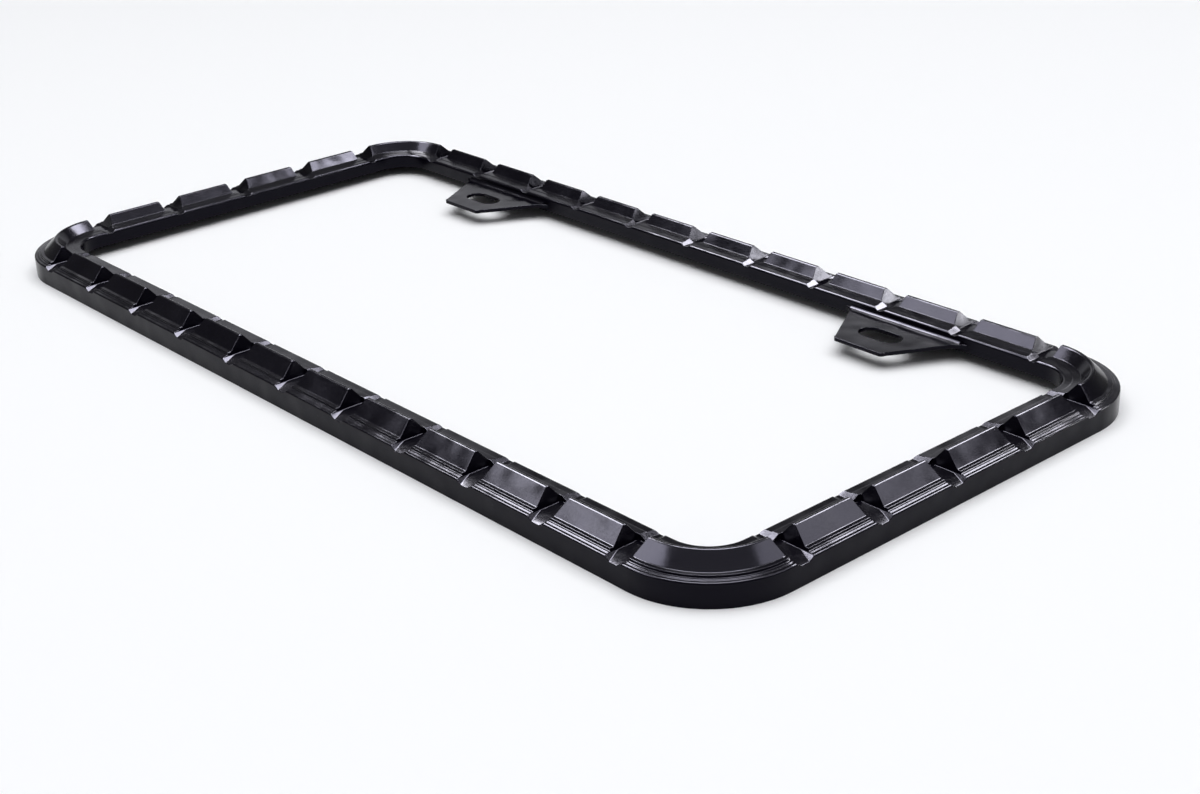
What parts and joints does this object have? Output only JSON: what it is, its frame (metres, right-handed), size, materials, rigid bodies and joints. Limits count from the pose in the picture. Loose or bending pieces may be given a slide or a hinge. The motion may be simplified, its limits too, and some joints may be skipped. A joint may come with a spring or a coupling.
{
  "type": "number plate holder",
  "caption": "Shallow rectangular surround for a vehicle number plate: rail of bevelled blocks with narrow gaps, rounded corners, skirted back and two slotted fixing tabs.",
  "frame": {"origin": "centre of the plane that the skirt stands on", "axes": "+X along the long rails, +Y towards the rail with the slotted tabs, +Z out of the face"},
  "size_m": [0.3112, 0.1588, 0.0104],
  "materials": {
    "plate_frame": "gloss"
  },
  "bodies": {
    "root": {"plate_frame": "plate_frame"}
  },
  "joints": []
}
